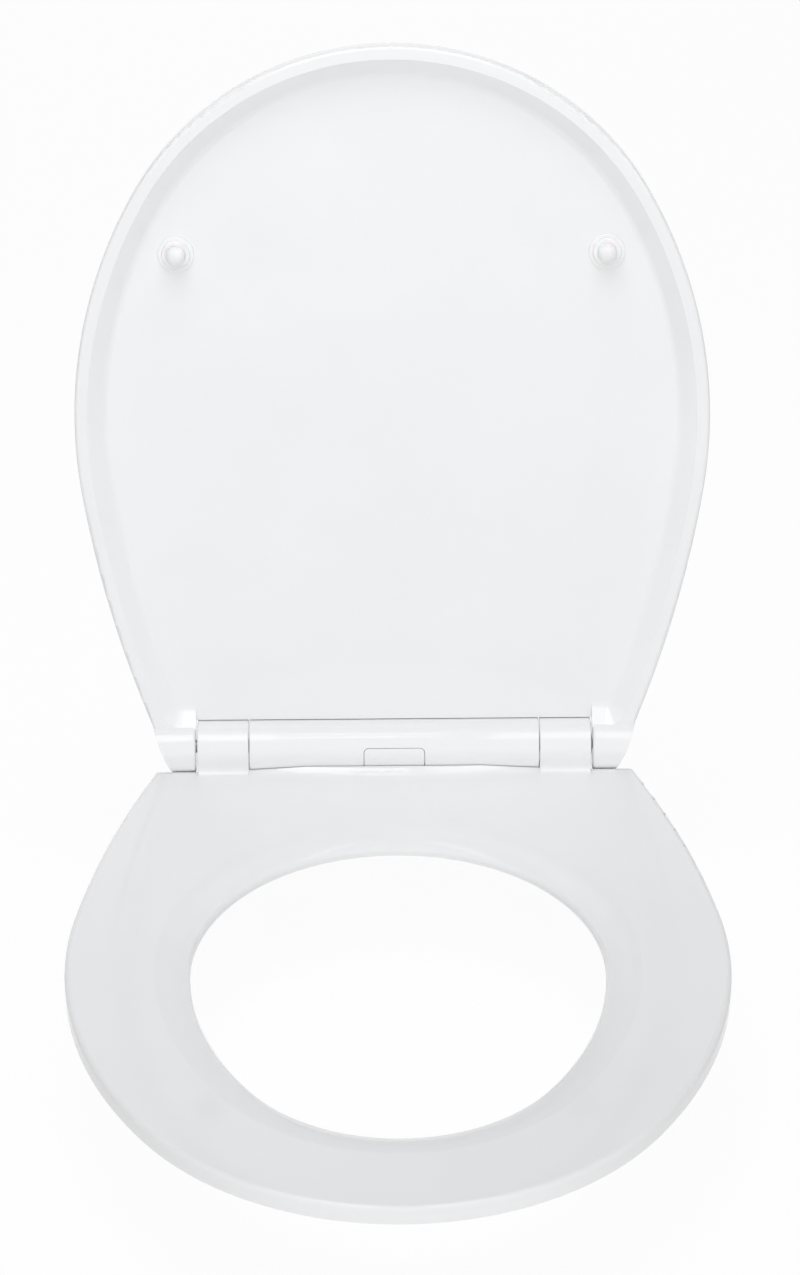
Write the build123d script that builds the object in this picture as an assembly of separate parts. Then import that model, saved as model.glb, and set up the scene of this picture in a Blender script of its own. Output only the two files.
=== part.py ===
from build123d import *
import math
import os

# Toilet seat with a lid, two rotary dampers and a quick-release hinge bar.
# Millimetres. +X is to the right of someone facing the seat, the front is at -Y and +Z is up.
# The origin lies midway between the two fixing studs, on the face of the pan.
# At rest the seat is down and the lid stands open.

# Plan outline, shared by the seat and the lid
seat_width = 370.0
axis_to_front = 425.0
axis_to_widest = 201.5
front_joint_angle = 36.6
flank_angle = 8.1

# Hinge line
axis_height = 30.0
hinge_radius = 16.0
bar_overhang = 9.3
lug_width = 30.7
bar_gap = 0.5
ear_gap = 1.0
ear_width = 13.0
open_angle = 100.0
shaft_radius = 4.0
shaft_flats = 6.0
running_clearance = 0.05
bush_wall = 1.5
ear_bore_depth = 14.0
end_play = 0.5

# Seat ring
ring_drop = 9.4
ring_thickness = 10.3
ring_wall = 5.0
ring_edge_radius = 3.0
ring_roll_radius = 36.0
ring_roll_width = 20.0
ring_roll_edge = 3.0
ring_inner_wall = 10.0
ring_corner_radius = 5.0
ring_rear = 4.5
scoop_gap = 1.0
notch_gap = 1.0
lug_blend_radius = 5.0
lip_radius = 12.0
lip_sweep = 50.0
lip_bow = 7.0
lip_gap = 0.6
lug_edge_radius = 0.8
opening_back = 90.5
opening_front = 360.5
opening_widest = 207.5
opening_width = 230.8
opening_front_joint_angle = 35.8
opening_rear_joint_angle = 45.0

# Seat buffers
seat_buffer_length = 36.0
seat_buffer_width = 15.0
buffer_stem_radius = 3.0
buffer_stem_length = 4.0
buffer_boss_wall = 4.0
seat_buffer_edge = 2.0
buffer_angle = 39.0

# Lid
lid_gap = 2.5
lid_edge_height = 15.5
lid_crown = 2.5
lid_front_joint_angle = 30.0
lid_top_radius = 6.0
lid_land_radius = 2.2
rim_width = 7.5
rim_slope = 50.0
recess_depth = 8.5
recess_fillet = 6.0
recess_rear = 14.0
recess_corner_radius = 14.0
panel_gap = 0.5
panel_edge = 0.8
ear_edge_radius = 2.0

# Lid buffers
lid_buffer_side = 61.2
lid_buffer_front = 121.0
lid_boss_radius = 10.5
lid_boss_height = 1.5
lid_boss_edge = 0.6
lid_buffer_flange_radius = 8.3
lid_buffer_flange = 2.0
lid_buffer_flange_edge = 1.0
lid_buffer_radius = 5.5
lid_buffer_dome = 4.4
buffer_clearance = 0.3

# Hinge bar
cover_wall = 2.5
cover_floor = 11.0
base_thickness = 3.0
bar_edge_radius = 0.6
rail_inner_x = 21.0
rail_width = 1.0
rail_height = 1.4
screw_inset = 18.0
screw_y = 8.3
screw_radius = 1.45
screw_head_radius = 2.5
screw_head_height = 1.3
screw_slot_width = 0.8
screw_slot_depth = 0.6
screw_boss_radius = 2.5
screw_boss_height = 2.8
screw_tip_play = 0.2

# Rotary dampers
damper_radius = 8.5
damper_gap = 3.5
damper_length = 40.0
damper_edge = 0.8
damper_key_width = 3.0
damper_key_height = 1.5
damper_key_inset = 1.0
rotor_depth = 24.0
saddle_thickness = 2.0
saddle_inset = 5.0

# Release button and latches
button_width = 36.0
button_top = 6.3
button_bottom = 7.4
button_gap = 0.4
button_wall = 3.0
button_corner_radius = 2.5
button_travel = 3.0
flange_margin = 2.4
flange_wall = 1.8
cam_thickness = 2.0
cam_lift = 0.6
cam_half_width = 18.0
cam_front = 9.2
cam_rear = 6.0
pin_x = 14.0
pin_radius = 1.5
pin_play = 0.15
plunger_width = 8.0
plunger_height = 6.0
spring_half_length = 17.0
spring_bow = 6.0
spring_thickness = 0.6
latch_width = 8.4
latch_thickness = 1.6
latch_play = 0.2
latch_inner_x = 9.0

# Fixing studs
stud_spacing = 155.0
post_radius = 6.0
post_drop = 5.0
post_chamfer = 1.5
neck_radius = 4.0
neck_play = 0.2
collar_radius = 13.0
collar_thickness = 3.0
upper_shank_radius = 5.0
shank_radius = 4.0
shank_length = 30.0
thread_radius = 3.7
thread_chamfer = 1.0
stud_length = 60.0
seating_clearance = 0.15

# Rosettes, pads, washers and nuts
pad_radius = 21.0
pad_thickness = 2.5
rosette_radius = 20.0
rosette_height = 5.5
rosette_hub_radius = 9.0
rosette_edge = 1.5
washer_top_radius = 7.0
washer_radius = 13.0
washer_height = 8.0
nut_flange_radius = 13.0
nut_flange = 3.0
nut_hub_radius = 7.5
nut_height = 14.0
wing_span = 42.0
wing_thickness = 3.0
wing_corner = 3.0
thread_clearance = 0.06

# How far a cut runs past the face that it opens, and a joined piece into its neighbour
overshoot = 1.0

# Places worked out from the sizes above
half_width = seat_width / 2
stud_x = stud_spacing / 2
bar_half = stud_x + bar_overhang
lug_inner = bar_half + bar_gap
lug_outer = lug_inner + lug_width
ear_inner = lug_outer + ear_gap
ear_outer = ear_inner + ear_width
ear_bore_end = ear_inner + ear_bore_depth
ring_top = axis_height - ring_drop
ring_bottom = ring_top - ring_thickness
notch_reach = hinge_radius + notch_gap
lug_blend_rise = lug_blend_radius - ring_drop
lug_blend_y = -math.sqrt((hinge_radius + lug_blend_radius) ** 2 - lug_blend_rise**2)
land_height = lid_gap - ring_drop
panel_height = land_height + recess_depth
lid_buffer_x = half_width - lid_buffer_side
lid_buffer_y = lid_buffer_front - axis_to_front
bush_radius = shaft_radius + running_clearance + bush_wall
latch_bottom = latch_play - cover_floor
latch_top = latch_bottom + latch_thickness
latch_tip = stud_x - neck_radius - latch_play
cam_bottom = latch_top + cam_lift
inner_radius = hinge_radius - cover_wall
damper_outer_x = stud_x - post_radius - damper_gap
damper_inner_x = damper_outer_x - damper_length
screw_x = damper_inner_x + screw_inset
thread_start = -shank_length
nut_top = thread_start - washer_height

lid_pose = Pos(0, 0, axis_height) * Rot(-open_angle, 0, 0)
hinge_place = Pos(0, 0, axis_height)


def quarter_arcs(width, reach, joint_angle):
    """Tip and side radius of the two arcs, tangent at the joint angle, that round a quarter of an oval."""
    joint = math.radians(joint_angle)
    difference = (reach - width) / (math.sin(joint) + math.cos(joint) - 1)
    tip_radius = reach - difference * math.sin(joint)
    return tip_radius, tip_radius + difference


def plan_face(inset, rear_y, joint):
    """Plan outline of the seat or the lid, moved inwards by inset, with a straight rear edge at rear_y."""
    tip, side = quarter_arcs(half_width, axis_to_front - axis_to_widest, joint)
    side_centre = Vector(half_width - side, -axis_to_widest)
    outward = Vector(math.cos(math.radians(flank_angle)), math.sin(math.radians(flank_angle)))
    flank_end = side_centre + outward * side
    to_ear = Vector(ear_outer, hinge_radius) - flank_end
    flank = to_ear.dot(to_ear) / (-2 * to_ear.dot(outward))
    flank_centre = flank_end - outward * flank
    rear_angle = math.degrees(math.asin((rear_y - flank_centre.Y) / (flank - inset)))
    front_arc = CenterArc((0, tip - axis_to_front), tip - inset, joint - 180, 180 - 2 * joint)
    side_arc = CenterArc(side_centre, side - inset, -joint, flank_angle + joint)
    flank_arc = CenterArc(flank_centre, flank - inset, flank_angle, rear_angle - flank_angle)
    right = [side_arc, flank_arc]
    left = [arc.mirror(Plane.YZ) for arc in right]
    rear_x = (flank_arc @ 1).X
    rear_edge = Line((rear_x, rear_y), (-rear_x, rear_y))
    return make_face([front_arc, *right, rear_edge, *left])


def seat_face(inset, rear_y):
    """Plan outline of the seat."""
    return plan_face(inset, rear_y, front_joint_angle)


def lid_face(inset, rear_y):
    """Plan outline of the lid, a little fuller at the front corners than the seat's."""
    return plan_face(inset, rear_y, lid_front_joint_angle)


def opening_face(margin):
    """Egg-shaped opening of the ring, made larger all round by margin."""
    arcs = []
    width = opening_width / 2
    ends = [
        (-1, opening_front - opening_widest, opening_front_joint_angle),
        (1, opening_widest - opening_back, opening_rear_joint_angle),
    ]
    for way, reach, joint in ends:
        tip, side = quarter_arcs(width, reach, joint)
        tip_centre = (0, way * (reach - tip) - opening_widest)
        arcs.append(CenterArc(tip_centre, tip + margin, way * joint, way * (180 - 2 * joint)))
        side_arc = CenterArc((width - side, -opening_widest), side + margin, 0, way * joint)
        arcs.append(side_arc)
        arcs.append(side_arc.mirror(Plane.YZ))
    return make_face(arcs)


def raised(face, bottom, height):
    """Upright prism on a plan face."""
    return Pos(0, 0, bottom) * extrude(face, height, dir=(0, 0, 1))


def across(face, x_start, x_end):
    """Prism along X on a face drawn with Y to its right and Z up."""
    return Pos(x_start, 0, 0) * extrude(Plane.YZ * face, x_end - x_start, dir=(1, 0, 0))


def rod(radius, x_start, x_end):
    """Round bar along the hinge axis, in the hinge's own frame."""
    return Pos((x_start + x_end) / 2, 0, 0) * Rot(0, 90, 0) * Cylinder(radius, abs(x_end - x_start))


def flat_rod(x_start, x_end, clearance):
    """Shaft stretch with two flats, which turns what it is keyed in."""
    length = abs(x_end - x_start)
    flats = Box(length, 4 * shaft_radius, shaft_flats + 2 * clearance)
    return rod(shaft_radius + clearance, x_start, x_end) & Pos((x_start + x_end) / 2, 0, 0) * flats


def block(x_start, x_end, y_start, y_end, z_start, z_end):
    """Block between two corners."""
    size = Box(x_end - x_start, y_end - y_start, z_end - z_start)
    return Pos((x_start + x_end) / 2, (y_start + y_end) / 2, (z_start + z_end) / 2) * size


def disc(radius, bottom, top):
    """Upright cylinder between two heights."""
    return Pos(0, 0, (bottom + top) / 2) * Cylinder(radius, top - bottom)


def lug_face():
    """Side view of a lug: the hinge round, with a hollow blend down to the deck."""
    root = -2 * hinge_radius
    touch_angle = math.degrees(math.atan2(-lug_blend_rise, -lug_blend_y))
    blend = CenterArc((lug_blend_y, lug_blend_rise), lug_blend_radius, -90, 90 + touch_angle)
    crown = CenterArc((0, 0), hinge_radius, 180 + touch_angle, -270 - touch_angle)
    deck = Line((root, -ring_drop), (lug_blend_y, -ring_drop))
    sole = Line((0, -hinge_radius), (root, -hinge_radius))
    back = Line((root, -hinge_radius), (root, -ring_drop))
    return make_face([deck, blend, crown, sole, back])


def lip_face(foot):
    """Section of the lip through the middle of the seat: a hollow rise from the deck to a flat top."""
    root = foot - lip_radius
    hollow = CenterArc((foot, lip_radius - ring_drop), lip_radius, -90, lip_sweep)
    top = Line(hollow @ 1, (0, (hollow @ 1).Y))
    outline = Polyline((0, (hollow @ 1).Y), (0, -hinge_radius), (root, -hinge_radius), (root, -ring_drop))
    deck = Line((root, -ring_drop), hollow @ 0)
    return make_face([hollow, top, *outline.edges(), deck])


def make_lip():
    """Lip between the lugs, which bows forwards in the middle and leaves room for the bar."""
    foot = lug_blend_y - lip_bow
    bow_radius = (lug_inner**2 + lip_bow**2) / (2 * lip_bow)
    bow_axis = Axis((0, foot + bow_radius, 0), (0, 0, 1))
    half_turn = math.degrees(math.asin((lug_inner + hinge_radius) / bow_radius))
    lip = revolve(Plane.YZ * lip_face(foot), bow_axis, 2 * half_turn).rotate(bow_axis, -half_turn)
    reach = 2 * hinge_radius
    lip &= block(-lug_inner, lug_inner, foot - reach, cover_wall - hinge_radius, -reach, reach)
    return lip - rod(hinge_radius + lip_gap, -lug_inner, lug_inner)


def buffer_places():
    """Name and plan place of each buffer under the ring, midway between its opening and its outline."""
    middle_x = (half_width + opening_width / 2) / 2
    rear_reach = opening_widest - (opening_back + notch_reach) / 2
    front_reach = (axis_to_front + opening_front) / 2 - opening_widest
    across_share, along_share = math.cos(math.radians(buffer_angle)), math.sin(math.radians(buffer_angle))
    for row, reach in (("rear", rear_reach), ("front", -front_reach)):
        for hand, sign in (("left", -1), ("right", 1)):
            x = sign * middle_x * across_share
            y = reach * along_share - opening_widest
            yield f"seat_buffer_{row}_{hand}", x, y


def make_rolled_ring():
    """Ring whose top rolls down into the opening, drawn deep for the roll and then cut to its thickness."""
    deep = ring_roll_radius + overshoot
    through = deep + 2 * overshoot
    ring = raised(seat_face(0, -ring_rear), ring_top - deep, deep)
    ring = fillet(ring.edges().filter_by(Axis.Z).group_by(Axis.Y)[-1], ring_corner_radius)
    ring -= raised(opening_face(ring_roll_width - ring_roll_radius), ring_top - deep - overshoot, through)
    top = ring.faces().sort_by(Axis.Z)[-1]
    ring = fillet(top.inner_wires()[0].edges(), ring_roll_radius)
    ring -= raised(opening_face(0), ring_top - deep - overshoot, through)
    below = raised(seat_face(-overshoot, 0), ring_top - deep - overshoot, deep + overshoot - ring_thickness)
    ring -= below
    roll_foot = ring.faces().filter_by(GeomType.TORUS).edges().group_by(Axis.Z)[0]
    ring = fillet(roll_foot, ring_roll_edge)
    top = ring.faces().filter_by(Plane.XY).sort_by(Axis.Z)[-1]
    return fillet(top.outer_wire().edges(), ring_edge_radius)


def make_seat_ring():
    """Ring moulded in one with its deck, lip and hinge lugs, open underneath."""
    ring = make_rolled_ring()
    ring -= block(-lug_inner, lug_inner, -notch_reach, 0, ring_bottom - overshoot, axis_height)
    for sign in (-1, 1):
        ring -= hinge_place * rod(hinge_radius + scoop_gap, sign * lug_outer, sign * half_width)

    for x_start, x_end in ((-lug_outer, -lug_inner), (lug_inner, lug_outer)):
        lug = across(lug_face(), x_start, x_end)
        ends = lug.edges().filter_by(GeomType.CIRCLE).filter_by(lambda edge: edge.radius == hinge_radius)
        ring += hinge_place * fillet(ends, lug_edge_radius)
    ring += hinge_place * make_lip()

    channel_depth = ring_thickness - ring_wall
    channel = raised(seat_face(ring_wall, -notch_reach - ring_wall), ring_bottom, channel_depth)
    channel -= raised(opening_face(ring_inner_wall), ring_bottom - overshoot, ring_thickness)
    ring -= channel
    boss_radius = buffer_stem_radius + buffer_boss_wall
    boss = disc(boss_radius, ring_bottom, ring_bottom + channel_depth + overshoot)
    socket_radius = buffer_stem_radius + seating_clearance
    socket = disc(socket_radius, ring_bottom - overshoot, ring_bottom + buffer_stem_length)
    for _, x, y in buffer_places():
        ring += Pos(x, y, 0) * boss
        ring -= Pos(x, y, 0) * socket
    ring -= hinge_place * rod(bush_radius + running_clearance, -lug_outer - overshoot, -lug_inner + overshoot)
    ring -= hinge_place * flat_rod(lug_inner - overshoot, lug_outer + overshoot, running_clearance)
    return ring


def make_seat_buffer(x, y):
    """Long soft buffer with a stem that pushes into the ring."""
    pad = raised(SlotOverall(seat_buffer_length, seat_buffer_width), 0, ring_bottom)
    pad = fillet(pad.faces().sort_by(Axis.Z)[0].edges(), seat_buffer_edge)
    stem = disc(buffer_stem_radius, ring_bottom, ring_bottom + buffer_stem_length - end_play)
    along = math.degrees(math.atan2(y + opening_widest, x))
    return Pos(x, y, 0) * Rot(0, 0, along + 90) * (pad + stem)


def lid_dome():
    """Ball whose top is the shallow dome of the lid."""
    middle = axis_to_front / 2
    radius = (middle**2 + lid_crown**2) / (2 * lid_crown)
    top = land_height + lid_edge_height + lid_crown
    return Pos(0, -middle, top - radius) * Rot(90, 0, 0) * Sphere(radius)


def make_ear(sign):
    """Hinge ear of the lid: the hinge round, cut to the plan outline."""
    bar = rod(hinge_radius, sign * ear_inner, sign * half_width)
    ear = bar & raised(lid_face(0, hinge_radius + overshoot), -2 * hinge_radius, 4 * hinge_radius)
    inner_rim = ear.edges().sort_by(Axis.X, reverse=sign < 0)[0]
    return fillet(inner_rim, ear_edge_radius)


def make_lid():
    """Domed lid with a raised rim, a recessed underside and two hinge ears, drawn closed and then opened."""
    tall = lid_edge_height + 2 * lid_crown
    plate = raised(lid_face(0, 0), land_height, tall) & lid_dome()
    dome = plate.faces().sort_by(Axis.Z)[-1]
    plate = fillet(dome.outer_wire().edges().sort_by(Axis.Y)[:-1], lid_top_radius)
    land = plate.faces().sort_by(Axis.Z)[0]
    plate = fillet(land.outer_wire().edges().sort_by(Axis.Y)[:-1], lid_land_radius)

    recess = lid_face(rim_width, -recess_rear)
    recess = fillet(recess.vertices().group_by(Axis.Y)[-1], recess_corner_radius)
    recess = Pos(0, 0, land_height) * extrude(recess, recess_depth, dir=(0, 0, 1), taper=rim_slope)
    recess = fillet(recess.faces().sort_by(Axis.Z)[-1].edges(), recess_fillet)
    plate -= recess
    for sign in (-1, 1):
        boss = disc(lid_boss_radius, panel_height - lid_boss_height, panel_height + overshoot)
        boss = fillet(boss.edges().sort_by(Axis.Z)[0], lid_boss_edge)
        plate += Pos(sign * lid_buffer_x, lid_buffer_y, 0) * boss
    plate -= block(-ear_inner, ear_inner, -2 * recess_rear, hinge_radius, land_height, panel_height)
    bar_room = hinge_radius + panel_gap
    shoulder = land_height + lid_edge_height - panel_edge
    rear_y = math.sqrt(bar_room**2 - shoulder**2)
    plate -= block(-ear_inner, ear_inner, -rear_y, hinge_radius, land_height, land_height + tall)
    plate -= rod(bar_room, -ear_inner, ear_inner)
    for sign in (-1, 1):
        plate += make_ear(sign)
    plate -= flat_rod(-ear_bore_end, -ear_inner + overshoot, running_clearance)
    plate -= rod(bush_radius + running_clearance, ear_inner - overshoot, ear_bore_end)
    return lid_pose * plate


def make_lid_buffer(sign):
    """Domed buffer on a flange, which keeps the lid off the seat."""
    seat_level = panel_height - lid_boss_height
    tip = buffer_clearance - ring_drop
    flange = disc(lid_buffer_flange_radius, seat_level - lid_buffer_flange, seat_level)
    flange = fillet(flange.edges().sort_by(Axis.Z)[0], lid_buffer_flange_edge)
    stem = disc(lid_buffer_radius, tip, seat_level - end_play)
    stem = fillet(stem.edges().sort_by(Axis.Z)[0], lid_buffer_dome)
    return lid_pose * Pos(sign * lid_buffer_x, lid_buffer_y, 0) * (flange + stem)


def screw_places():
    """Plan place of each screw that holds the base to the cover."""
    return [(x, y) for x in (-screw_x, screw_x) for y in (-screw_y, screw_y)]


def button_frame(width, top, bottom, corner):
    """Block that cuts the button, or its window, out of the front of the bar."""
    frame = block(-width / 2, width / 2, -2 * hinge_radius, 0, -bottom, top)
    return fillet(frame.edges().filter_by(Axis.Y), corner)


def make_hinge_cover():
    """Round cover of the hinge bar, open underneath, with saddles for the dampers."""
    cover = rod(hinge_radius, -bar_half, bar_half)
    cover = fillet(cover.edges().filter_by(GeomType.CIRCLE), bar_edge_radius)
    cover -= rod(inner_radius, cover_wall - bar_half, bar_half - cover_wall)
    for sign in (-1, 1):
        for x in (damper_inner_x + saddle_inset, damper_outer_x - saddle_inset):
            edge = sign * x - saddle_thickness / 2
            saddle = rod(inner_radius + overshoot, edge, edge + saddle_thickness)
            saddle -= block(-bar_half, bar_half, -hinge_radius, hinge_radius, -hinge_radius, 0)
            cover += saddle
    boss_top = screw_boss_height - cover_floor
    for x, y in screw_places():
        cover += Pos(x, y, 0) * disc(screw_boss_radius, -cover_floor, boss_top)
        cover -= Pos(x, y, 0) * disc(screw_radius, -cover_floor - overshoot, boss_top - end_play)
    below = -2 * hinge_radius
    past = bar_half + overshoot
    cover -= block(-past, past, -hinge_radius, hinge_radius, below, -cover_floor)
    cover -= rod(damper_radius + running_clearance, -damper_outer_x, damper_outer_x)
    cover -= rod(shaft_radius + running_clearance, -past, past)
    key_room = damper_key_width / 2 + seating_clearance
    key_top = damper_radius + damper_key_height + seating_clearance
    cover -= block(-damper_outer_x, damper_outer_x, -key_room, key_room, 0, key_top)
    window = button_frame(
        button_width + 2 * button_gap,
        button_top + button_gap,
        button_bottom + button_gap,
        button_corner_radius + button_gap,
    )
    cover -= window
    return hinge_place * cover


def make_hinge_base():
    """Plate that closes the bar from below, with post holes and rails for the latches."""
    base = rod(hinge_radius, -bar_half, bar_half)
    bottom = -cover_floor - base_thickness
    base &= block(-bar_half, bar_half, -hinge_radius, hinge_radius, bottom, -cover_floor)
    rail_y = latch_width / 2 + latch_play
    for sign in (-1, 1):
        for hand in (-1, 1):
            inner, outer = sorted((hand * rail_inner_x, hand * latch_tip))
            low, high = sorted((sign * rail_y, sign * (rail_y + rail_width)))
            base += block(inner, outer, low, high, -cover_floor, rail_height - cover_floor)
        post_hole = disc(post_radius + seating_clearance, bottom - overshoot, overshoot - cover_floor)
        base -= Pos(sign * stud_x, 0, 0) * post_hole
    for x, y in screw_places():
        head_top = -cover_floor - base_thickness / 2
        base -= Pos(x, y, 0) * disc(screw_radius + seating_clearance, -2 * hinge_radius, 0)
        base -= Pos(x, y, 0) * disc(screw_head_radius + seating_clearance, -2 * hinge_radius, head_top)
    return hinge_place * base


def make_hinge_screws():
    """Screws that hold the base plate to the cover."""
    screws = []
    head_top = -cover_floor - base_thickness / 2
    for x, y in screw_places():
        tip = screw_boss_height - cover_floor - end_play - screw_tip_play
        shank = disc(screw_radius - running_clearance, head_top - end_play, tip)
        head_bottom = head_top - screw_head_height
        head = disc(screw_head_radius, head_bottom, head_top)
        half, reach = screw_slot_width / 2, 2 * screw_head_radius
        slot = block(-half, half, -reach, reach, head_bottom, head_bottom + screw_slot_depth)
        screws.append(hinge_place * Pos(x, y, 0) * (shank + head - slot))
    return Compound(children=screws)


def make_damper_body(sign):
    """Sealed housing of a rotary damper, keyed against turning in its saddles."""
    body = rod(damper_radius, sign * damper_inner_x, sign * damper_outer_x)
    body = fillet(body.edges().filter_by(GeomType.CIRCLE), damper_edge)
    key_ends = damper_inner_x + damper_key_inset, damper_outer_x - damper_key_inset
    start, end = sorted(sign * x for x in key_ends)
    half = damper_key_width / 2
    body += block(start, end, -half, half, 0, damper_radius + damper_key_height)
    bore_start, bore_end = sign * (damper_outer_x - rotor_depth), sign * (damper_outer_x + overshoot)
    body -= rod(shaft_radius + running_clearance, bore_start, bore_end)
    return hinge_place * body


def make_lid_shaft():
    """Left-hand damper shaft, round through the lug and flatted in the ear of the lid."""
    inner_end = damper_outer_x - rotor_depth + end_play
    shaft = rod(shaft_radius, -inner_end, -ear_inner)
    shaft += flat_rod(-ear_inner, -ear_bore_end + end_play, 0)
    return lid_pose * shaft


def make_seat_shaft():
    """Right-hand damper shaft, flatted in the lug of the seat, with a round end for the lid to turn on."""
    inner_end = damper_outer_x - rotor_depth + end_play
    shaft = rod(shaft_radius, inner_end, lug_inner - bar_gap / 2)
    shaft += flat_rod(lug_inner - bar_gap / 2, lug_outer, 0)
    shaft += rod(shaft_flats / 2, lug_outer, ear_bore_end - end_play)
    return hinge_place * shaft


def make_lug_bush():
    """Sleeve in the left lug, in which the lid's shaft turns."""
    bush = rod(bush_radius, -lug_outer, -lug_inner)
    bush -= rod(shaft_radius + running_clearance, -lug_outer - overshoot, -lug_inner + overshoot)
    return hinge_place * bush


def make_ear_bush():
    """Sleeve in the right ear, which turns on the end of the seat's shaft."""
    bush = rod(bush_radius, ear_inner, ear_bore_end - end_play / 2)
    bush -= rod(shaft_flats / 2 + running_clearance, ear_inner - overshoot, ear_bore_end + overshoot)
    return lid_pose * bush


def make_release_button():
    """Push button in the front of the bar, with the slotted cam plate that draws the latches in."""
    face = rod(hinge_radius - running_clearance, -button_width / 2, button_width / 2)
    face -= rod(hinge_radius - button_wall, -bar_half, bar_half)
    face &= button_frame(button_width, button_top, button_bottom, button_corner_radius)
    flange_radius = inner_radius - button_gap
    flange_half = button_width / 2 + flange_margin
    flange = rod(flange_radius, -flange_half, flange_half)
    flange -= rod(flange_radius - flange_wall, -bar_half, bar_half)
    flange &= block(-flange_half, flange_half, -hinge_radius, 0, cam_bottom, button_top + flange_margin)
    plunger_front = -flange_radius + flange_wall / 2
    plunger_end = spring_front() - latch_play
    half = plunger_width / 2
    plunger = block(-half, half, plunger_front, plunger_end, -plunger_height / 2, plunger_height / 2)
    cam = block(-cam_half_width, cam_half_width, -cam_front, cam_rear, cam_bottom, cam_bottom + cam_thickness)
    button = face + flange + plunger + cam
    slot_middle = button_travel / 2
    slot = SlotCenterToCenter(math.sqrt(2) * (button_travel + pin_play), 2 * (pin_radius + pin_play))
    for sign in (-1, 1):
        cut = raised(Rot(0, 0, sign * 45) * slot, cam_bottom - overshoot, cam_thickness + 2 * overshoot)
        button -= Pos(sign * (pin_x - slot_middle), -slot_middle, 0) * cut
    return hinge_place * button


def spring_front():
    """Place of the bowed spring's crest behind the button."""
    rear = math.sqrt(inner_radius**2 - (plunger_height / 2) ** 2) - latch_play
    return rear - spring_bow


def make_button_spring():
    """Bowed leaf spring between the button's plunger and the back of the bar."""
    crest = spring_front()
    end = crest + spring_bow - spring_thickness
    outer = ThreePointArc((-spring_half_length, end), (0, crest), (spring_half_length, end))
    inner = ThreePointArc(
        (-spring_half_length, end + spring_thickness),
        (0, crest + spring_thickness),
        (spring_half_length, end + spring_thickness),
    )
    sides = [Line(outer @ 0, inner @ 0), Line(outer @ 1, inner @ 1)]
    leaf = make_face([outer, inner, *sides])
    return hinge_place * raised(leaf, -plunger_height / 2, plunger_height)


def make_latch(sign):
    """Sliding latch: its tip locks under the head of the post, its pin runs in the button's cam slot."""
    start, end = sorted((sign * latch_inner_x, sign * latch_tip))
    strip = block(start, end, -latch_width / 2, latch_width / 2, latch_bottom, latch_top)
    pin = disc(pin_radius, latch_top - latch_thickness / 2, cam_bottom + cam_thickness)
    return hinge_place * (strip + Pos(sign * pin_x, 0, 0) * pin)


def make_fixing_stud(sign):
    """Turned stud: a necked post for the hinge bar above a collar, a plain shank and a threaded end below."""
    collar_top = pad_thickness + collar_thickness
    post_top = axis_height - post_drop
    neck_bottom = axis_height + latch_bottom - neck_play
    neck_top = axis_height + latch_top + neck_play
    outline = [
        (0, -stud_length),
        (thread_radius - thread_chamfer, -stud_length),
        (thread_radius, thread_chamfer - stud_length),
        (thread_radius, thread_start),
        (shank_radius, thread_start),
        (shank_radius, 0),
        (upper_shank_radius, 0),
        (upper_shank_radius, pad_thickness),
        (collar_radius, pad_thickness),
        (collar_radius, collar_top),
        (post_radius, collar_top),
        (post_radius, neck_bottom),
        (neck_radius, neck_bottom),
        (neck_radius, neck_top),
        (post_radius, neck_top),
        (post_radius, post_top - post_chamfer),
        (post_radius - post_chamfer, post_top),
        (0, post_top),
    ]
    profile = make_face(Polyline(*outline, close=True))
    return Pos(sign * stud_x, 0, 0) * revolve(Plane.XZ * profile, Axis.Z)


def make_rosette(sign):
    """Foot over the stud's collar, with a hub that carries the hinge bar."""
    hub_top = axis_height - cover_floor - base_thickness
    foot_top = pad_thickness + rosette_height
    foot = disc(rosette_radius, pad_thickness, foot_top)
    foot = fillet(foot.edges().sort_by(Axis.Z)[-1], rosette_edge)
    foot += disc(rosette_hub_radius, foot_top - overshoot, hub_top)
    foot -= disc(post_radius + seating_clearance, 0, hub_top + overshoot)
    foot -= disc(collar_radius + seating_clearance, 0, pad_thickness + collar_thickness + seating_clearance)
    return Pos(sign * stud_x, 0, 0) * foot


def make_pan_pad(sign):
    """Soft ring between the rosette and the pan."""
    hole = disc(upper_shank_radius + seating_clearance, -overshoot, pad_thickness + overshoot)
    pad = disc(pad_radius, 0, pad_thickness) - hole
    return Pos(sign * stud_x, 0, 0) * pad


def make_cone_washer(sign):
    """Tapered soft washer that centres the stud in the pan's hole from below."""
    middle = (thread_start + nut_top) / 2
    cone = Pos(0, 0, middle) * Cone(washer_radius, washer_top_radius, washer_height)
    cone -= Pos(0, 0, middle) * Cylinder(thread_radius + seating_clearance, washer_height + 2 * overshoot)
    return Pos(sign * stud_x, 0, 0) * cone


def make_wing_nut(sign):
    """Flanged wing nut on the threaded end of the stud."""
    nut_bottom = nut_top - nut_height
    nut = disc(nut_flange_radius, nut_top - nut_flange, nut_top)
    nut += disc(nut_hub_radius, nut_bottom, nut_top - overshoot)
    wing_top = nut_top - nut_flange + overshoot
    span, half = wing_span / 2, wing_thickness / 2
    wings = block(-span, span, -half, half, nut_bottom, wing_top)
    nut += fillet(wings.edges().filter_by(Axis.Y), wing_corner)
    nut -= disc(thread_radius + thread_clearance, nut_bottom - overshoot, nut_top + overshoot)
    return Pos(sign * stud_x, 0, 0) * nut


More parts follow.
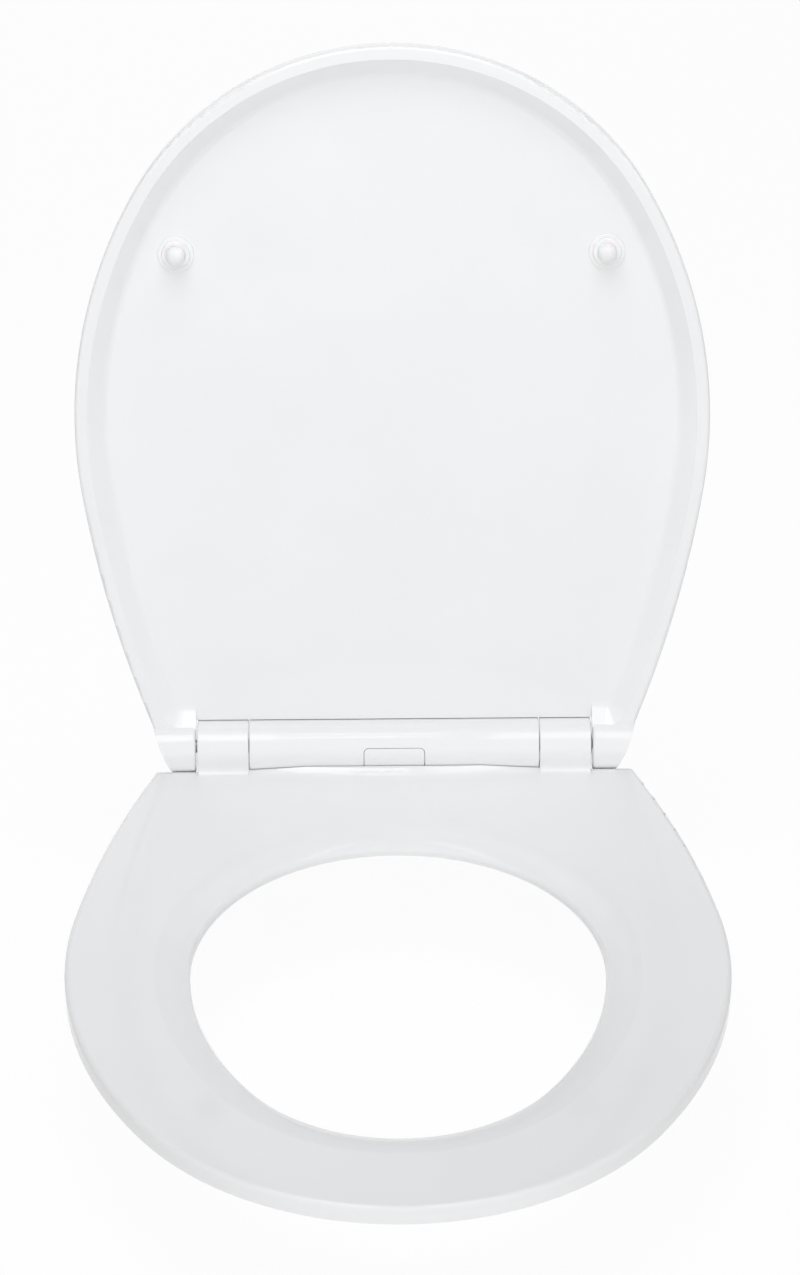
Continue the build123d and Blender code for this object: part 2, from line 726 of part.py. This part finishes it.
def make_parts():
    """Every piece by its name."""
    pieces = {
        "seat_ring": make_seat_ring(),
        "lid": make_lid(),
        "hinge_cover": make_hinge_cover(),
        "hinge_base": make_hinge_base(),
        "hinge_screws": make_hinge_screws(),
        "lid_damper_body": make_damper_body(-1),
        "lid_damper_shaft": make_lid_shaft(),
        "seat_damper_body": make_damper_body(1),
        "seat_damper_shaft": make_seat_shaft(),
        "lug_bush": make_lug_bush(),
        "ear_bush": make_ear_bush(),
        "release_button": make_release_button(),
        "button_spring": make_button_spring(),
    }
    for name, x, y in buffer_places():
        pieces[name] = make_seat_buffer(x, y)
    for hand, sign in (("left", -1), ("right", 1)):
        pieces[f"lid_buffer_{hand}"] = make_lid_buffer(sign)
        pieces[f"latch_{hand}"] = make_latch(sign)
        pieces[f"fixing_stud_{hand}"] = make_fixing_stud(sign)
        pieces[f"rosette_{hand}"] = make_rosette(sign)
        pieces[f"pan_pad_{hand}"] = make_pan_pad(sign)
        pieces[f"cone_washer_{hand}"] = make_cone_washer(sign)
        pieces[f"wing_nut_{hand}"] = make_wing_nut(sign)
    return pieces


os.makedirs("parts", exist_ok=True)
for name, piece in make_parts().items():
    export_step(piece, f"parts/{name}.step")
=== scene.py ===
"""Looks of a white toilet seat with its lid open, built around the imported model."""
import logging
import math
from dataclasses import dataclass, field
from enum import Enum

import bpy
from mathutils import Matrix, Vector


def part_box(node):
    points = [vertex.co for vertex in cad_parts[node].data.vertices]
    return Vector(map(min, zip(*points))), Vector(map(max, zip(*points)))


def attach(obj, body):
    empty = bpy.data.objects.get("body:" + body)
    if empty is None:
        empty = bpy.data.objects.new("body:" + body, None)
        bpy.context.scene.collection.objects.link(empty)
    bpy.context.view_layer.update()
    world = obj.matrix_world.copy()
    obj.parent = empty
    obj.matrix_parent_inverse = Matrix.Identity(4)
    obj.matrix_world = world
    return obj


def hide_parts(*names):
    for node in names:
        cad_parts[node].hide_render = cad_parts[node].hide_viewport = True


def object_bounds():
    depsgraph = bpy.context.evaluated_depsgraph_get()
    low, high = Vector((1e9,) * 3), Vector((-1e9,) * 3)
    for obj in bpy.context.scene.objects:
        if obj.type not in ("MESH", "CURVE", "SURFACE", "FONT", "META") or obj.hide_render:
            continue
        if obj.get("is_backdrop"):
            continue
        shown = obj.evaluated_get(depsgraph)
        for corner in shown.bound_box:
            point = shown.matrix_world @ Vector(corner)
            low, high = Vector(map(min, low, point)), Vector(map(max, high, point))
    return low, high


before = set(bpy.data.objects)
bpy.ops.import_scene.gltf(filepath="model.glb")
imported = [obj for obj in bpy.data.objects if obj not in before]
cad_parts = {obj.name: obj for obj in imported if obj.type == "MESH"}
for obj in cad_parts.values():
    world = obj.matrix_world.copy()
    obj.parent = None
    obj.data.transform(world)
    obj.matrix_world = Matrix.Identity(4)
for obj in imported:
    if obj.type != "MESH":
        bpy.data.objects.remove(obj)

LOG = logging.getLogger("toilet_seat")
MM = 0.001
MM_PER_METRE = 1000.0

Colour = tuple[float, float, float]
Triple = tuple[float, float, float]
Face = tuple[int, ...]

WHITE: Colour = (1.0, 1.0, 1.0)
X_AXIS: Triple = (1.0, 0.0, 0.0)


def opaque(colour: Colour) -> tuple[float, float, float, float]:
    """Colour with full alpha, as Blender's colour sockets take it."""
    return (*colour, 1.0)


class Grain(Enum):
    """Direction in which a steel piece's tool marks run, as repeats per metre along each axis."""

    TURNED_UPRIGHT = (40.0, 40.0, 5200.0)
    TURNED_ALONG_BAR = (5200.0, 40.0, 40.0)
    BRUSHED_ALONG_BAR = (60.0, 4200.0, 4200.0)


class Hand(Enum):
    """Side of the seat, with the sign of its X."""

    LEFT = -1
    RIGHT = 1

    @property
    def word(self) -> str:
        """Name of the side, as it ends a node's name."""
        return self.name.lower()


class Graph:
    """Node tree of one material, with short calls for the nodes that the finishes share."""

    NOISE_MIDDLE_HALF = (0.25, 0.75)

    def __init__(self, name: str) -> None:
        """Makes the material and finds its shader.

        Args:
            name: name of the material.
        """
        self.material = bpy.data.materials.new(name)
        self.material.use_nodes = True
        self.tree = self.material.node_tree
        self.shader = self.tree.nodes["Principled BSDF"]

    def node(self, kind: str) -> bpy.types.Node:
        """Adds one shader node of the given kind."""
        return self.tree.nodes.new("ShaderNode" + kind)

    def link(self, source: bpy.types.NodeSocket, target: bpy.types.NodeSocket) -> None:
        """Joins two sockets."""
        self.tree.links.new(source, target)

    def constants(self, **values: float) -> None:
        """Sets plain numbers on the shader, with underscores for the blanks of a socket's name."""
        for name, value in values.items():
            self.shader.inputs[name.replace("_", " ")].default_value = value

    def noise(self, stretch: Triple, detail: float) -> bpy.types.NodeSocket:
        """Noise over the piece's own coordinates.

        Args:
            stretch: repeats per metre along each axis.
            detail: number of finer layers.

        Returns:
            The noise's value socket.
        """
        place = self.node("TexCoord")
        scale = self.node("Mapping")
        scale.inputs["Scale"].default_value = stretch
        noise = self.node("TexNoise")
        noise.inputs["Scale"].default_value = 1.0
        noise.inputs["Detail"].default_value = detail
        self.link(place.outputs["Object"], scale.inputs["Vector"])
        self.link(scale.outputs["Vector"], noise.inputs["Vector"])
        return noise.outputs["Fac"]

    def even_noise(self, size_mm: float, detail: float = 2.0) -> bpy.types.NodeSocket:
        """Noise whose grain has one size, given in millimetres, in every direction."""
        return self.noise((MM_PER_METRE / size_mm,) * 3, detail)

    def span(self, value: bpy.types.NodeSocket, low: float, high: float) -> bpy.types.NodeSocket:
        """Moves the middle half of a noise into a range of numbers.

        Args:
            value: noise socket.
            low: number at the dark end.
            high: number at the light end.

        Returns:
            The ranged socket.
        """
        ranged = self.node("MapRange")
        ranged.inputs["From Min"].default_value = self.NOISE_MIDDLE_HALF[0]
        ranged.inputs["From Max"].default_value = self.NOISE_MIDDLE_HALF[1]
        ranged.inputs["To Min"].default_value = low
        ranged.inputs["To Max"].default_value = high
        self.link(value, ranged.inputs["Value"])
        return ranged.outputs["Result"]

    def tint(self, noise: bpy.types.NodeSocket, dark: Colour, light: Colour) -> None:
        """Colours the shader between two tones.

        Args:
            noise: noise socket that chooses the tone.
            dark: colour at its dark end.
            light: colour at its light end.
        """
        share = self.span(noise, 0.0, 1.0)
        ramp = self.node("ValToRGB")
        ramp.color_ramp.elements[0].color = opaque(dark)
        ramp.color_ramp.elements[1].color = opaque(light)
        self.link(share, ramp.inputs["Fac"])
        self.link(ramp.outputs["Color"], self.shader.inputs["Base Color"])

    def roughen(self, patch_mm: float, low: float, high: float) -> None:
        """Lets the roughness wander from patch to patch.

        Args:
            patch_mm: size of the patches in millimetres.
            low: roughness of the smoothest ones.
            high: roughness of the dullest ones.
        """
        rough = self.span(self.even_noise(patch_mm), low, high)
        self.link(rough, self.shader.inputs["Roughness"])

    def relief(self, height: bpy.types.NodeSocket, depth_mm: float) -> None:
        """Puts one bump layer under the shader's normal.

        Args:
            height: height socket.
            depth_mm: depth of the layer in millimetres.
        """
        bump = self.node("Bump")
        bump.inputs["Strength"].default_value = 1.0
        bump.inputs["Distance"].default_value = depth_mm * MM
        self.link(height, bump.inputs["Height"])
        self.link(bump.outputs["Normal"], self.shader.inputs["Normal"])


@dataclass(frozen=True)
class PolishedShell:
    """White thermoset with a polished skin: a trace of orange peel, faint clouds and some haze."""

    name: str = "polished_white_shell"
    dark: Colour = (0.868, 0.872, 0.880)
    light: Colour = (0.896, 0.898, 0.904)
    cloud_mm: float = 90.0
    cloud_detail: float = 3.0
    peel_mm: float = 3.0
    peel_depth_mm: float = 0.0035
    haze_mm: float = 35.0
    smooth: float = 0.035
    hazy: float = 0.07
    refraction: float = 1.52

    def material(self) -> bpy.types.Material:
        """Builds the finish.

        Returns:
            Its material.
        """
        graph = Graph(self.name)
        graph.tint(graph.even_noise(self.cloud_mm, self.cloud_detail), self.dark, self.light)
        graph.roughen(self.haze_mm, self.smooth, self.hazy)
        graph.relief(graph.even_noise(self.peel_mm), self.peel_depth_mm)
        graph.constants(IOR=self.refraction)
        return graph.material


@dataclass(frozen=True)
class MouldedPlastic:
    """Plain moulded plastic with the fine spark-eroded grain of its mould."""

    name: str
    dark: Colour
    light: Colour
    cloud_mm: float = 14.0
    cloud_detail: float = 4.0
    grain_mm: float = 0.35
    grain_detail: float = 1.0
    grain_depth_mm: float = 0.012
    patch_mm: float = 6.0
    rough_low: float = 0.38
    rough_high: float = 0.5

    def material(self) -> bpy.types.Material:
        """Builds the finish.

        Returns:
            Its material.
        """
        graph = Graph(self.name)
        graph.tint(graph.even_noise(self.cloud_mm, self.cloud_detail), self.dark, self.light)
        graph.roughen(self.patch_mm, self.rough_low, self.rough_high)
        graph.relief(graph.even_noise(self.grain_mm, self.grain_detail), self.grain_depth_mm)
        return graph.material


@dataclass(frozen=True)
class SoftRubber:
    """Soft rubber: dull, a little cloudy, with a fine pebble and a dusting of sheen."""

    name: str
    dark: Colour
    light: Colour
    cloud_mm: float = 5.0
    cloud_detail: float = 4.0
    pebble_mm: float = 0.6
    pebble_depth_mm: float = 0.01
    patch_mm: float = 3.0
    rough_low: float = 0.45
    rough_high: float = 0.6
    sheen: float = 0.06
    glow: float = 0.0
    glow_depth_mm: float = 1.5

    def material(self) -> bpy.types.Material:
        """Builds the finish.

        Returns:
            Its material.
        """
        graph = Graph(self.name)
        graph.tint(graph.even_noise(self.cloud_mm, self.cloud_detail), self.dark, self.light)
        graph.roughen(self.patch_mm, self.rough_low, self.rough_high)
        graph.relief(graph.even_noise(self.pebble_mm), self.pebble_depth_mm)
        graph.constants(
            Sheen_Weight=self.sheen,
            Subsurface_Weight=self.glow,
            Subsurface_Scale=self.glow_depth_mm * MM,
        )
        return graph.material


@dataclass(frozen=True)
class ToolmarkedSteel:
    """Stainless steel with the marks of the lathe or the brush."""

    name: str
    grain: Grain
    dark: Colour = (0.50, 0.50, 0.505)
    light: Colour = (0.66, 0.66, 0.655)
    mark_detail: float = 2.0
    mark_depth_mm: float = 0.006
    patch_mm: float = 4.0
    rough_low: float = 0.24
    rough_high: float = 0.38

    def material(self) -> bpy.types.Material:
        """Builds the finish.

        Returns:
            Its material.
        """
        graph = Graph(self.name)
        marks = graph.noise(self.grain.value, self.mark_detail)
        graph.tint(marks, self.dark, self.light)
        graph.roughen(self.patch_mm, self.rough_low, self.rough_high)
        graph.relief(marks, self.mark_depth_mm)
        graph.constants(Metallic=1.0)
        return graph.material


@dataclass
class Palette:
    """Every finish of the seat, made once."""

    shell: bpy.types.Material = field(init=False)
    plastic: bpy.types.Material = field(init=False)
    nut: bpy.types.Material = field(init=False)
    buffer: bpy.types.Material = field(init=False)
    seal: bpy.types.Material = field(init=False)
    turned_stud: bpy.types.Material = field(init=False)
    turned_shaft: bpy.types.Material = field(init=False)
    strip: bpy.types.Material = field(init=False)

    def __post_init__(self) -> None:
        """Builds the materials."""
        self.shell = PolishedShell().material()
        self.plastic = MouldedPlastic(
            "moulded_pale_plastic", dark=(0.74, 0.74, 0.73), light=(0.80, 0.80, 0.79)
        ).material()
        self.nut = MouldedPlastic(
            "moulded_nut_plastic", dark=(0.80, 0.80, 0.79), light=(0.86, 0.86, 0.85)
        ).material()
        self.buffer = SoftRubber(
            "pale_buffer_rubber", dark=(0.83, 0.835, 0.84), light=(0.87, 0.87, 0.87), glow=0.25
        ).material()
        self.seal = SoftRubber(
            "dark_seal_rubber", dark=(0.035, 0.035, 0.036), light=(0.06, 0.06, 0.06)
        ).material()
        self.turned_stud = ToolmarkedSteel("turned_stud_steel", Grain.TURNED_UPRIGHT).material()
        self.turned_shaft = ToolmarkedSteel("turned_shaft_steel", Grain.TURNED_ALONG_BAR).material()
        self.strip = ToolmarkedSteel("brushed_strip_steel", Grain.BRUSHED_ALONG_BAR).material()


def dress(material: bpy.types.Material, *names: str) -> None:
    """Gives CAD nodes a finish.

    Args:
        material: finish to show.
        names: nodes that take it.
    """
    for name in names:
        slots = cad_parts[name].data.materials
        slots.clear()
        slots.append(material)
        LOG.info("dressed %s in %s", name, material.name)


@dataclass
class SeatRing:
    """The ring with its buffers and the pieces keyed in its lugs."""

    palette: Palette
    buffer_rows: tuple[str, ...] = ("rear", "front")

    def build(self) -> None:
        """Dresses the ring and what it carries."""
        dress(self.palette.shell, "seat_ring")
        for row in self.buffer_rows:
            dress(self.palette.buffer, *(f"seat_buffer_{row}_{hand.word}" for hand in Hand))
        dress(self.palette.turned_shaft, "seat_damper_shaft")
        dress(self.palette.plastic, "lug_bush")


@dataclass
class Lid:
    """The lid with its buffers and the pieces keyed in its ears."""

    palette: Palette

    def build(self) -> None:
        """Dresses the lid and what it carries."""
        dress(self.palette.shell, "lid")
        dress(self.palette.buffer, *(f"lid_buffer_{hand.word}" for hand in Hand))
        dress(self.palette.turned_shaft, "lid_damper_shaft")
        dress(self.palette.plastic, "ear_bush")


@dataclass
class HingeBar:
    """The hinge bar: cover, base, dampers, release button and latches."""

    palette: Palette

    def build(self) -> None:
        """Dresses the bar's pieces."""
        dress(self.palette.shell, "hinge_cover", "release_button")
        dress(self.palette.plastic, "hinge_base", "lid_damper_body", "seat_damper_body")
        dress(self.palette.turned_stud, "hinge_screws")
        dress(self.palette.strip, "button_spring", *(f"latch_{hand.word}" for hand in Hand))


@dataclass(frozen=True)
class ThreadedStud:
    """Turned stud with necked post, collar and shank, and the thread that its solid leaves plain.

    Radii, heights and lengths are in millimetres. The edges of the thread are given as shares of
    its pitch, from the top of a turn down: first those on the crest, then those in the root.
    """

    post: float = 6.0
    post_top: float = 25.0
    post_chamfer: float = 1.5
    neck: float = 4.0
    neck_top: float = 21.0
    neck_bottom: float = 19.0
    collar: float = 13.0
    collar_top: float = 5.5
    collar_bottom: float = 2.5
    upper_shank: float = 5.0
    shank: float = 4.0
    crest: float = 3.7
    root: float = 3.1
    pitch: float = 1.25
    crest_shares: tuple[float, ...] = (0.0, 0.125)
    root_shares: tuple[float, ...] = (0.4375, 0.6875)
    thread_top: float = -30.0
    thread_bottom: float = -60.0
    tip_chamfer: float = 1.0
    sides: int = 40
    sharp_deg: float = 25.0

    @property
    def edge_shares(self) -> tuple[float, ...]:
        """Edges of one turn of the thread, as shares of the pitch."""
        return self.crest_shares + self.root_shares

    def turned_rings(self) -> list[tuple[float, float]]:
        """Radius and height of every edge from the post's top down to the thread's shoulder."""
        return [
            (self.post - self.post_chamfer, self.post_top),
            (self.post, self.post_top - self.post_chamfer),
            (self.post, self.neck_top),
            (self.neck, self.neck_top),
            (self.neck, self.neck_bottom),
            (self.post, self.neck_bottom),
            (self.post, self.collar_top),
            (self.collar, self.collar_top),
            (self.collar, self.collar_bottom),
            (self.upper_shank, self.collar_bottom),
            (self.upper_shank, 0.0),
            (self.shank, 0.0),
            (self.shank, self.thread_top),
            (self.root, self.thread_top),
        ]

    def point(self, radius: float, side: int, height: float) -> Triple:
        """Place, in metres, of a point on the given side of the stud."""
        angle = 2.0 * math.pi * side / self.sides
        return (radius * math.cos(angle) * MM, radius * math.sin(angle) * MM, height * MM)

    def turned_skin(self, points: list[Triple], faces: list[Face]) -> None:
        """Adds the turned surfaces above the thread.

        Args:
            points: list that takes the corners.
            faces: list that takes the faces.
        """
        rings = self.turned_rings()
        for radius, height in rings:
            points.extend(self.point(radius, side, height) for side in range(self.sides))
        faces.append(tuple(range(self.sides)))
        for row in range(len(rings) - 1):
            for side in range(self.sides):
                along = (side + 1) % self.sides
                here, below = row * self.sides, (row + 1) * self.sides
                faces.append((here + side, below + side, below + along, here + along))

    def thread_row(self, row: int, side: int) -> tuple[float, float]:
        """Radius and height on the thread's helix.

        Args:
            row: edge of the thread, counted down from the first turn.
            side: side of the stud, which lowers the helix by its share of the pitch.

        Returns:
            The radius and the height, within the threaded length and under the tip's chamfer.
        """
        turn, edge = divmod(row, len(self.edge_shares))
        height = self.thread_top - self.pitch * (turn + self.edge_shares[edge] + side / self.sides)
        height = min(max(height, self.thread_bottom), self.thread_top)
        limit = self.crest - self.tip_chamfer + height - self.thread_bottom
        radius = self.crest if edge < len(self.crest_shares) else self.root
        return min(radius, limit), height

    def thread_skin(self, points: list[Triple], faces: list[Face]) -> None:
        """Adds the thread and the end of the stud.

        A face reaches one row down, and the last side of a turn meets the first side of the next,
        so the corners go on for one turn and one row after the last row of faces.

        Args:
            points: list that takes the corners.
            faces: list that takes the faces.
        """
        edges = len(self.edge_shares)
        turns = math.ceil((self.thread_top - self.thread_bottom) / self.pitch)
        first, rows = len(points), range(-edges, edges * turns + 1)
        for row in range(rows.start, rows.stop + edges + 1):
            for side in range(self.sides):
                radius, height = self.thread_row(row, side)
                points.append(self.point(radius, side, height))
        for row in rows:
            for side in range(self.sides):
                ahead, along = (row, side + 1) if side + 1 < self.sides else (row + edges, 0)
                corners = [(row, side), (row + 1, side), (ahead + 1, along), (ahead, along)]
                if len({self.thread_row(*corner)[1] for corner in corners}) > 1:
                    faces.append(
                        tuple(first + (r - rows.start) * self.sides + c for r, c in corners)
                    )
        tip = len(points)
        radius = self.crest - self.tip_chamfer
        points.extend(self.point(radius, side, self.thread_bottom) for side in range(self.sides))
        faces.append(tuple(tip + side for side in reversed(range(self.sides))))

    def build(self, hand: Hand, material: bpy.types.Material) -> bpy.types.Object:
        """Makes the stud of one side in place of its plain solid.

        Args:
            hand: side on which it stands.
            material: finish of the stud.

        Returns:
            The stud's object.
        """
        points: list[Triple] = []
        faces: list[Face] = []
        self.turned_skin(points, faces)
        self.thread_skin(points, faces)
        node = f"fixing_stud_{hand.word}"
        low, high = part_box(node)
        middle = (low[0] + high[0]) / 2.0
        mesh = bpy.data.meshes.new(f"threaded_stud_{hand.word}")
        mesh.from_pydata([(x + middle, y, z) for x, y, z in points], [], faces)
        mesh.validate()
        mesh.shade_smooth()
        mesh.set_sharp_from_angle(angle=math.radians(self.sharp_deg))
        mesh.materials.append(material)
        stud = bpy.data.objects.new(f"threaded_stud_{hand.word}", mesh)
        bpy.context.scene.collection.objects.link(stud)
        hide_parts(node)
        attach(stud, "hinge_bar")
        LOG.info("threaded %s", node)
        return stud


@dataclass
class PanFixing:
    """One threaded stud with its rosette, pad, washer and nut."""

    palette: Palette
    hand: Hand
    stud: ThreadedStud = ThreadedStud()

    def build(self) -> None:
        """Makes the stud and dresses the rest of the fixing."""
        word = self.hand.word
        self.stud.build(self.hand, self.palette.turned_stud)
        dress(self.palette.plastic, f"rosette_{word}")
        dress(self.palette.seal, f"pan_pad_{word}", f"cone_washer_{word}")
        dress(self.palette.nut, f"wing_nut_{word}")


@dataclass
class PhotoCamera:
    """Camera that stands where the photograph was taken, worked out from the object's outlines."""

    eye_mm: Triple = (-15.67, -1860.70, 1194.58)
    azimuth_deg: float = -0.5965
    elevation_deg: float = 30.354
    roll_deg: float = -0.1472
    focal_px: float = 3639.55
    image_height_px: float = 1275.0
    film_mm: float = 36.0
    nearest: float = 0.05
    farthest: float = 50.0

    def build(self) -> None:
        """Makes the camera and sets it as the scene's own."""
        turn, tilt = math.radians(self.azimuth_deg), math.radians(self.elevation_deg)
        back = Vector((
            math.sin(turn) * math.cos(tilt),
            -math.cos(turn) * math.cos(tilt),
            math.sin(tilt),
        ))
        level = Vector((math.cos(turn), math.sin(turn), 0.0))
        upright = back.cross(level)
        roll = math.radians(self.roll_deg)
        right = level * math.cos(roll) + upright * math.sin(roll)
        above = upright * math.cos(roll) - level * math.sin(roll)
        lens = bpy.data.cameras.new("photo_camera")
        lens.sensor_width = self.film_mm
        lens.lens = self.film_mm * self.focal_px / self.image_height_px
        lens.clip_start = self.nearest
        lens.clip_end = self.farthest
        camera = bpy.data.objects.new("photo_camera", lens)
        turned = Matrix((right, above, back)).transposed().to_4x4()
        camera.matrix_world = Matrix.Translation(Vector(self.eye_mm) * MM) @ turned
        bpy.context.scene.collection.objects.link(camera)
        bpy.context.scene.camera = camera
        LOG.info("camera at %s", tuple(round(value, 3) for value in camera.location))


@dataclass(frozen=True)
class Softbox:
    """One soft lamp, wide along X, in metres.

    It hangs at its place, faces its target and lights a white card there to its level. A lamp that
    isn't mirrored stays out of the reflections on polished pieces.
    """

    name: str
    place: Triple
    target: Triple
    width: float
    height: float
    level: float
    colour: Colour = WHITE
    mirrored: bool = True

    def build(self) -> None:
        """Hangs the lamp."""
        lamp = bpy.data.lights.new(self.name, "AREA")
        lamp.shape = "RECTANGLE"
        lamp.size = self.width
        lamp.size_y = self.height
        lamp.color = self.colour
        way = Vector(self.target) - Vector(self.place)
        lamp.energy = self.level * math.pi**2 * way.length_squared
        box = bpy.data.objects.new(self.name, lamp)
        back = -way.normalized()
        upright = back.cross(Vector(X_AXIS)).normalized()
        turned = Matrix((upright.cross(back), upright, back)).transposed().to_4x4()
        box.matrix_world = Matrix.Translation(Vector(self.place)) @ turned
        box.visible_glossy = self.mirrored
        bpy.context.scene.collection.objects.link(box)
        LOG.info("lamp %s", self.name)


@dataclass
class Studio:
    """White studio: a floor that keeps a faint shadow, a white surround and soft lamps."""

    floor_drop: float = 0.0005
    floor_half: float = 12.0
    floor_tone: Colour = (0.97, 0.97, 0.97)
    floor_glow: float = 0.945
    ambient: float = 0.33
    softboxes: tuple[Softbox, ...] = (
        Softbox(
            "front_softbox", place=(0.3, -4.6, 0.6), target=(0.0, 0.0, 0.2),
            width=3.6, height=1.3, level=0.36, mirrored=False,
        ),
        Softbox(
            "back_softbox", place=(-0.5, 3.6, 0.8), target=(0.0, 0.05, 0.25),
            width=3.0, height=1.0, level=0.34, mirrored=False,
        ),
        Softbox(
            "hinge_softbox", place=(0.0, -0.06, 1.5), target=(0.0, -0.06, 0.0),
            width=0.9, height=0.3, level=0.13, mirrored=False,
        ),
        Softbox(
            "near_strip", place=(-0.27, -0.64, 1.5), target=(-0.27, -0.64, 0.0),
            width=0.66, height=0.14, level=0.045,
        ),
        Softbox(
            "far_strip", place=(-0.27, -0.24, 1.5), target=(-0.27, -0.24, 0.0),
            width=0.66, height=0.14, level=0.045,
        ),
        Softbox(
            "left_panel", place=(-0.32, -0.48, 1.5), target=(-0.32, -0.48, 0.0),
            width=0.42, height=1.25, level=0.15,
        ),
        Softbox(
            "right_panel", place=(0.32, -0.48, 1.5), target=(0.32, -0.48, 0.0),
            width=0.42, height=1.25, level=0.135, colour=(0.95, 0.97, 1.0),
        ),
    )

    def build(self) -> None:
        """Sets the floor, the surround and the lamps."""
        bpy.context.scene.view_settings.view_transform = "Standard"
        self.lay_floor()
        self.paint_world()
        for softbox in self.softboxes:
            softbox.build()

    def lay_floor(self) -> None:
        """Lays the floor just below the studs."""
        low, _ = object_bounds()
        height = low.z - self.floor_drop
        half = self.floor_half
        mesh = bpy.data.meshes.new("studio_floor")
        corners = [(-half, -half), (half, -half), (half, half), (-half, half)]
        mesh.from_pydata([(x, y, height) for x, y in corners], [], [(0, 1, 2, 3)])
        floor = bpy.data.objects.new("studio_floor", mesh)
        bpy.context.scene.collection.objects.link(floor)
        floor.data.materials.append(self.floor_paint())
        floor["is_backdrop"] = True

    def seen_directly(self, tree: bpy.types.NodeTree) -> bpy.types.NodeSocket:
        """Adds the test of whether a ray comes from the camera, off a mirror or through glass.

        Args:
            tree: node tree that takes the test.

        Returns:
            The socket that is 1 for such rays and 0 for all others.
        """
        path = tree.nodes.new("ShaderNodeLightPath")
        total = path.outputs["Is Camera Ray"]
        for name in ("Is Glossy Ray", "Is Transmission Ray"):
            most = tree.nodes.new("ShaderNodeMath")
            most.operation = "MAXIMUM"
            tree.links.new(total, most.inputs[0])
            tree.links.new(path.outputs[name], most.inputs[1])
            total = most.outputs[0]
        return total

    def floor_paint(self) -> bpy.types.Material:
        """Mixes the floor's white: lit paint under a glow that only a direct look sees.

        Returns:
            The paint's material.
        """
        paint = bpy.data.materials.new("studio_floor_paint")
        paint.use_nodes = True
        tree = paint.node_tree
        tree.nodes.clear()
        lit = tree.nodes.new("ShaderNodeBsdfDiffuse")
        lit.inputs["Color"].default_value = opaque(self.floor_tone)
        glow = tree.nodes.new("ShaderNodeEmission")
        glow.inputs["Strength"].default_value = 1.0
        share = tree.nodes.new("ShaderNodeMath")
        share.operation = "MULTIPLY"
        share.inputs[1].default_value = self.floor_glow
        tree.links.new(self.seen_directly(tree), share.inputs[0])
        mix = tree.nodes.new("ShaderNodeMixShader")
        tree.links.new(share.outputs[0], mix.inputs["Fac"])
        tree.links.new(lit.outputs["BSDF"], mix.inputs[1])
        tree.links.new(glow.outputs["Emission"], mix.inputs[2])
        output = tree.nodes.new("ShaderNodeOutputMaterial")
        tree.links.new(mix.outputs["Shader"], output.inputs["Surface"])
        return paint

    def paint_world(self) -> None:
        """Sets a white surround for direct looks, and a lower, even light for everything else."""
        world = bpy.data.worlds.new("studio_surround")
        bpy.context.scene.world = world
        world.use_nodes = True
        tree = world.node_tree
        background = tree.nodes["Background"]
        background.inputs["Color"].default_value = opaque(WHITE)
        strength = tree.nodes.new("ShaderNodeMapRange")
        strength.inputs["To Min"].default_value = self.ambient
        strength.inputs["To Max"].default_value = 1.0
        tree.links.new(self.seen_directly(tree), strength.inputs["Value"])
        tree.links.new(strength.outputs["Result"], background.inputs["Strength"])


def main() -> None:
    """Builds the seat's looks, then its camera and studio."""
    logging.basicConfig(level=logging.INFO, format="%(name)s: %(message)s")
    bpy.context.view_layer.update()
    palette = Palette()
    SeatRing(palette).build()
    Lid(palette).build()
    HingeBar(palette).build()
    for hand in Hand:
        PanFixing(palette, hand).build()
    PhotoCamera().build()
    Studio().build()


if __name__ == "__main__":
    main()
